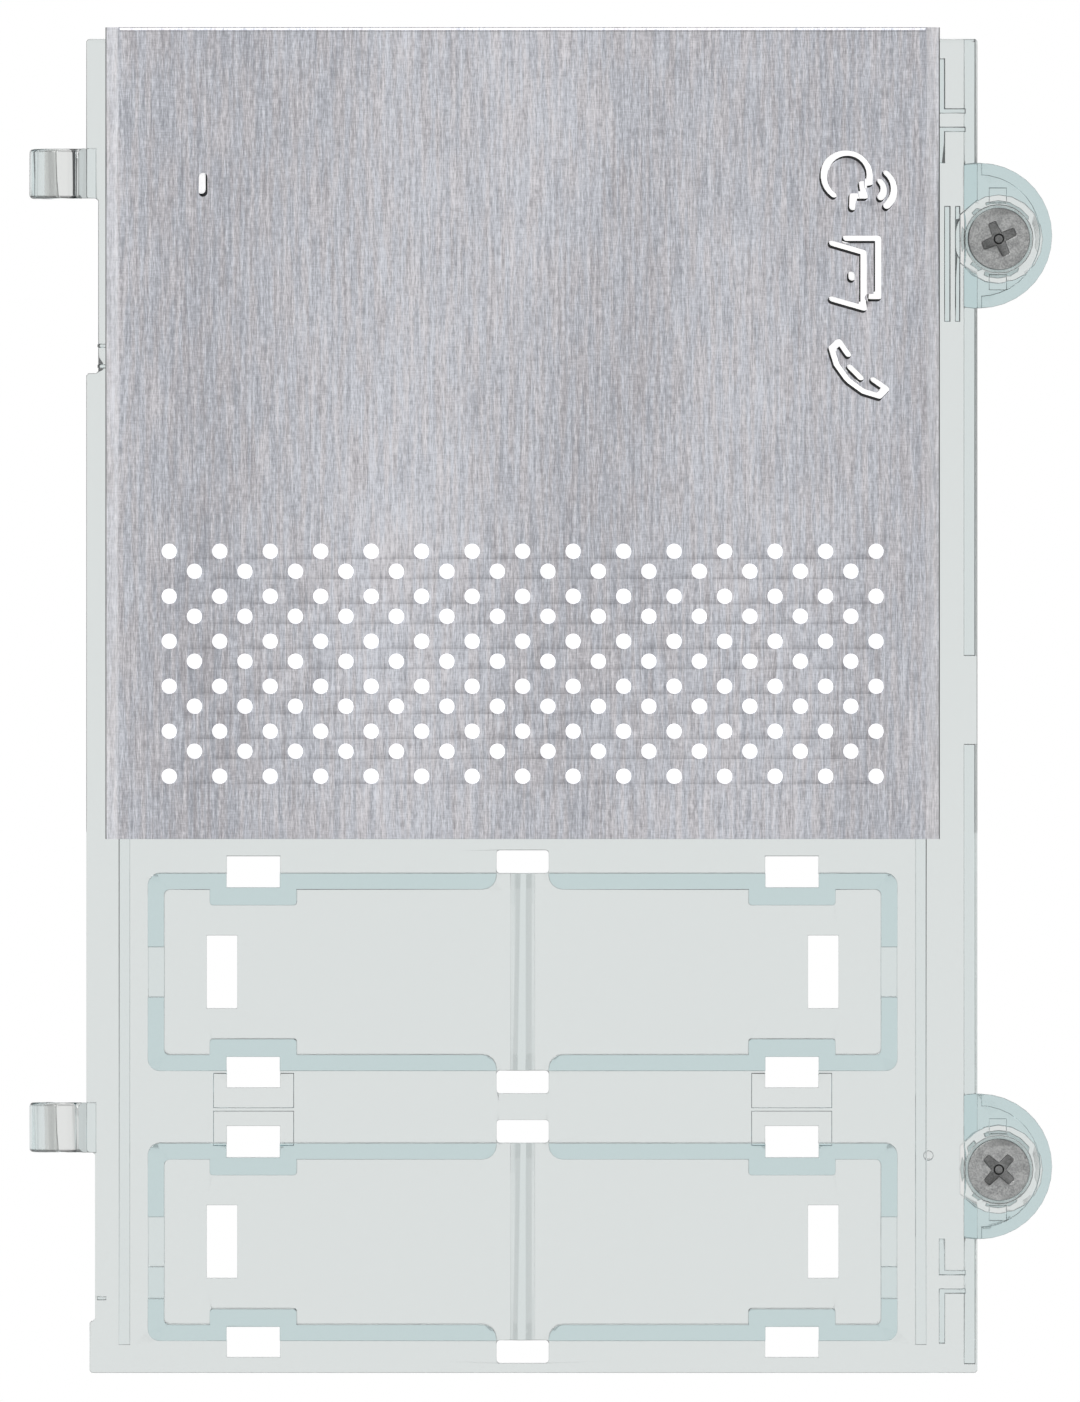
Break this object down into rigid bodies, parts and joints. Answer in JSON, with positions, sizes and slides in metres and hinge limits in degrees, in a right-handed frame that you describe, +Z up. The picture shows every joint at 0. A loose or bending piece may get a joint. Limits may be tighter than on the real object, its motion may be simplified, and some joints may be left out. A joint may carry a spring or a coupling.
{
  "type": "door intercom panel",
  "caption": "Entryphone audio module: brushed plate with speaker grille and pictograms on a clear carrier with empty button bays, hinge hooks and captive screws.",
  "frame": {"origin": "middle of the module on the plane where the screw ears seat on the wall frame", "axes": "+X to the right seen from the front, -Y out of the front face, +Z up"},
  "size_m": [0.0943, 0.03, 0.1239],
  "materials": {
    "clear_polycarbonate": "clear moulded polycarbonate with a faint blue-green tint in thick walls",
    "brushed_aluminium": "vertically brushed, anodised satin",
    "foam_tape": "double-sided acrylic foam tape",
    "white_mesh": "white acoustic membrane",
    "opal_sheet": "opal diffusing sheet",
    "black_plastic": "fine moulded texture",
    "lamp_body": "white lamp package with a yellow window",
    "rubber": "soft matt rubber",
    "zinc_steel": "zinc-plated sheet",
    "ferrite": "sintered ferrite",
    "board_green": "solder mask with tracks and pads",
    "chip_black": "moulded epoxy",
    "capacitor_sleeve": "shrink sleeve with bare can top",
    "green_plastic": "moulded terminal housing",
    "lead_red": "PVC insulation",
    "lead_black": "PVC insulation",
    "grey_plastic": "spark-eroded texture",
    "screw_steel": "dull stainless, lightly mottled",
    "retainer_nylon": "natural nylon",
    "brass": "nickel-free brass",
    "white_plastic": "white acetal",
    "cone_paper": "pressed paper, coated"
  },
  "bodies": {
    "panel": {"carrier": "clear_polycarbonate", "face_plate": "brushed_aluminium", "plate_tape": "foam_tape", "grille_membrane": "white_mesh", "microphone_membrane": "white_mesh", "pictogram_diffuser": "opal_sheet", "light_mask": "black_plastic", "lamp_speak": "lamp_body", "lamp_door": "lamp_body", "lamp_handset": "lamp_body", "grille_gasket": "rubber", "speaker_baffle": "black_plastic", "speaker_basket": "zinc_steel", "speaker_magnet": "ferrite", "microphone_boot": "rubber", "microphone": "zinc_steel", "circuit_board": "board_green", "processor": "chip_black", "amplifier": "chip_black", "bus_capacitor": "capacitor_sleeve", "audio_capacitor": "capacitor_sleeve", "bus_inductor": "ferrite", "terminal_block": "green_plastic", "volume_adjuster_body": "black_plastic", "gain_adjuster_body": "black_plastic", "link_header": "black_plastic", "speaker_lead_red": "lead_red", "speaker_lead_black": "lead_black", "rear_cover": "grey_plastic", "cover_screw_upper_left": "screw_steel", "cover_screw_upper_right": "screw_steel", "cover_screw_lower_left": "screw_steel", "cover_screw_lower_right": "screw_steel"},
    "upper_retainer": {"upper_screw_retainer": "retainer_nylon"},
    "upper_screw": {"upper_screw": "screw_steel"},
    "lower_retainer": {"lower_screw_retainer": "retainer_nylon"},
    "lower_screw": {"lower_screw": "screw_steel"},
    "clamp_1": {"terminal_clamp_1": "brass"},
    "clamp_screw_1": {"terminal_screw_1": "screw_steel"},
    "clamp_2": {"terminal_clamp_2": "brass"},
    "clamp_screw_2": {"terminal_screw_2": "screw_steel"},
    "volume_shaft": {"volume_adjuster_shaft": "white_plastic"},
    "gain_shaft": {"gain_adjuster_shaft": "white_plastic"},
    "cone": {"speaker_cone": "cone_paper"}
  },
  "joints": [
    {"name": "upper_screw_travel", "type": "slide", "parent": "panel", "child": "upper_retainer", "axis": [0, -1, 0], "range_m": [0, 0.00274]},
    {"name": "upper_screw_turn", "type": "hinge", "parent": "upper_retainer", "child": "upper_screw", "pos_m": [0.0439, 0, 0.0426], "axis": [0, -1, 0], "range_deg": [0, 1980]},
    {"name": "lower_screw_travel", "type": "slide", "parent": "panel", "child": "lower_retainer", "axis": [0, -1, 0], "range_m": [0, 0.00274]},
    {"name": "lower_screw_turn", "type": "hinge", "parent": "lower_retainer", "child": "lower_screw", "pos_m": [0.0439, 0, -0.0432], "axis": [0, -1, 0], "range_deg": [0, 1980]},
    {"name": "clamp_1_travel", "type": "slide", "parent": "panel", "child": "clamp_1", "axis": [0, -1, 0], "range_m": [0, 0.00179]},
    {"name": "clamp_screw_1_turn", "type": "hinge", "parent": "clamp_1", "child": "clamp_screw_1", "pos_m": [-0.0062, 0, 0.05], "axis": [0, -1, 0], "range_deg": [0, 1440]},
    {"name": "clamp_2_travel", "type": "slide", "parent": "panel", "child": "clamp_2", "axis": [0, -1, 0], "range_m": [0, 0.00179]},
    {"name": "clamp_screw_2_turn", "type": "hinge", "parent": "clamp_2", "child": "clamp_screw_2", "pos_m": [-0.0006, 0, 0.05], "axis": [0, -1, 0], "range_deg": [0, 1440]},
    {"name": "volume_turn", "type": "hinge", "parent": "panel", "child": "volume_shaft", "pos_m": [-0.022, 0, 0.051], "axis": [0, -1, 0], "range_deg": [-135, 135]},
    {"name": "gain_turn", "type": "hinge", "parent": "panel", "child": "gain_shaft", "pos_m": [-0.022, 0, 0.0415], "axis": [0, -1, 0], "range_deg": [-135, 135]},
    {"name": "cone_travel", "type": "slide", "parent": "panel", "child": "cone", "axis": [0, -1, 0], "range_m": [-0.0004, 0.0004], "stiffness_N_per_m": 800}
  ],
  "couplings": [
    {"joint": "upper_screw_turn", "follows": "upper_screw_travel", "rad_per_m": 12566},
    {"joint": "lower_screw_turn", "follows": "lower_screw_travel", "rad_per_m": 12566},
    {"joint": "clamp_screw_1_turn", "follows": "clamp_1_travel", "rad_per_m": 13963},
    {"joint": "clamp_screw_2_turn", "follows": "clamp_2_travel", "rad_per_m": 13963}
  ]
}
